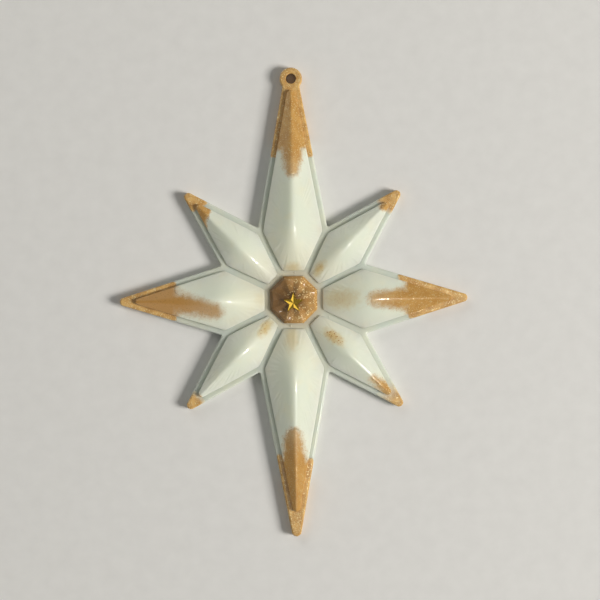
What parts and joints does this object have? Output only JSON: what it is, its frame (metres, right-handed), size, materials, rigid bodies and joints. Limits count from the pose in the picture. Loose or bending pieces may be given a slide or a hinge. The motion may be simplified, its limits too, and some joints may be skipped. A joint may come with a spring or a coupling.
{
  "type": "hanging star ornament",
  "caption": "Flat pointed star of layered pearl and gold-flake resin with raised kite petals, a faceted boss, a small metal star charm and a moulded hanging eyelet.",
  "frame": {"origin": "centre of the star on its flat back face", "axes": "+Y along the arm with the hanging eyelet, +X towards the right arm, +Z out of the raised face"},
  "size_m": [0.1392, 0.1878, 0.0099],
  "materials": {
    "backing_resin": "cast resin, milky grey-white, slightly translucent, glossy",
    "pearl_resin": "cast resin, pearl white with a faint green cast, glossy",
    "gold_flake_resin": "cast resin filled with fine gold flakes, glossy with sparkle",
    "charm_metal": "polished gold-coloured metal, faceted"
  },
  "bodies": {
    "root": {"back_plate": "backing_resin", "petal_right": "pearl_resin", "tip_right": "gold_flake_resin", "petal_upper_right": "pearl_resin", "tip_upper_right": "gold_flake_resin", "petal_top": "pearl_resin", "tip_top": "gold_flake_resin", "petal_upper_left": "pearl_resin", "tip_upper_left": "gold_flake_resin", "petal_left": "pearl_resin", "tip_left": "gold_flake_resin", "petal_lower_left": "pearl_resin", "tip_lower_left": "gold_flake_resin", "petal_bottom": "pearl_resin", "tip_bottom": "gold_flake_resin", "petal_lower_right": "pearl_resin", "tip_lower_right": "gold_flake_resin", "centre_boss": "gold_flake_resin", "star_charm": "charm_metal"}
  },
  "joints": []
}
